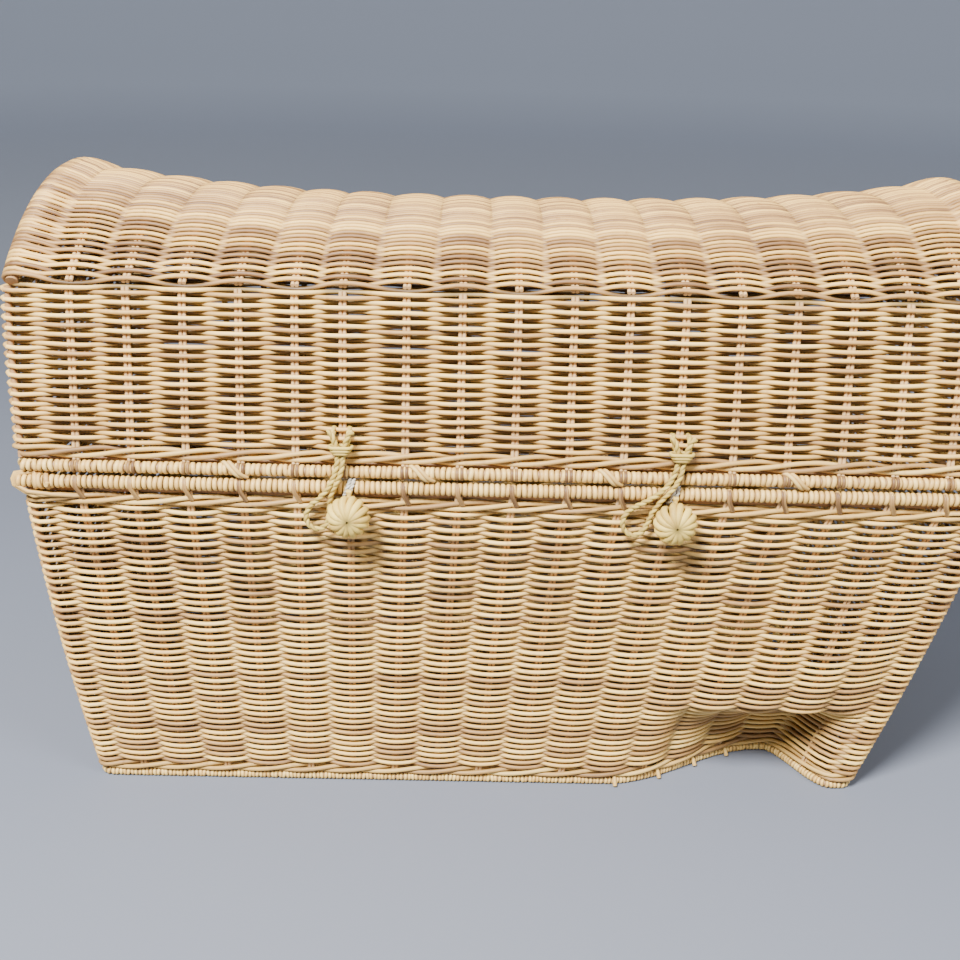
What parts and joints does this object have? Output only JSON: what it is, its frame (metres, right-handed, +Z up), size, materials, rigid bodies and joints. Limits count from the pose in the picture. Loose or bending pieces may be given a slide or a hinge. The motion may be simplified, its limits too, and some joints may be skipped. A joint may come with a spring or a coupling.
{
  "type": "wicker storage trunk",
  "caption": "Dome-topped storage trunk of woven round cane with a flared body, a lashed lid, cord loop closures with knot buttons, and a dented lower front corner.",
  "frame": {"origin": "middle of the woven floor's underside, on the surface the trunk stands on", "axes": "+X to the right of the front, +Y to the back, +Z up"},
  "size_m": [0.772, 0.4261, 0.5175],
  "materials": {
    "woven_cane": "satin, natural round cane",
    "stake_cane": "satin, natural round cane",
    "binding_cane": "satin, close wound cane",
    "brown_cane": "satin, darker cane",
    "cord": "twisted natural cord"
  },
  "bodies": {
    "trunk": {"floor_weave": "woven_cane", "foot_rim": "binding_cane", "foot_waling": "woven_cane", "body_front_weave": "woven_cane", "body_back_weave": "woven_cane", "body_left_weave": "woven_cane", "body_right_weave": "woven_cane", "body_waling": "woven_cane", "body_front_stakes": "stake_cane", "body_bent_stakes": "stake_cane", "body_back_stakes": "stake_cane", "body_left_stakes": "stake_cane", "body_right_stakes": "stake_cane", "body_corner_stakes": "brown_cane", "body_rim_rods": "brown_cane", "body_rim_binding": "binding_cane", "body_rim_lashings": "binding_cane", "left_button_tie": "cord", "right_button_tie": "cord"},
    "lid": {"lid_rim_rods": "brown_cane", "lid_rim_binding": "binding_cane", "lid_waling": "woven_cane", "lid_front_weave": "woven_cane", "lid_back_weave": "woven_cane", "lid_left_weave": "woven_cane", "lid_right_weave": "woven_cane", "lid_front_stakes": "stake_cane", "lid_back_stakes": "stake_cane", "lid_left_stakes": "stake_cane", "lid_right_stakes": "stake_cane", "lid_corner_stakes": "brown_cane", "lid_dome_weave": "woven_cane", "lid_dome_ribs": "stake_cane", "lid_left_gable": "woven_cane", "lid_right_gable": "woven_cane", "lid_hoops": "brown_cane", "hinge_lashings": "binding_cane", "left_loop_collar": "cord", "right_loop_collar": "cord", "left_loop": "cord", "right_loop": "cord"},
    "left_button": {"left_button": "cord", "left_button_neck": "cord"},
    "right_button": {"right_button": "cord", "right_button_neck": "cord"}
  },
  "joints": [
    {"name": "lid_hinge", "type": "hinge", "parent": "trunk", "child": "lid", "pos_m": [0.022, 0.194, 0.3], "axis": [-1, 0, 0], "range_deg": [0, 105]},
    {"name": "left_button_swing", "type": "hinge", "parent": "trunk", "child": "left_button", "pos_m": [-0.105, -0.2042, 0.3], "axis": [-1, 0, 0], "range_deg": [0, 45]},
    {"name": "right_button_swing", "type": "hinge", "parent": "trunk", "child": "right_button", "pos_m": [0.147, -0.2042, 0.3], "axis": [-1, 0, 0], "range_deg": [0, 45]}
  ]
}
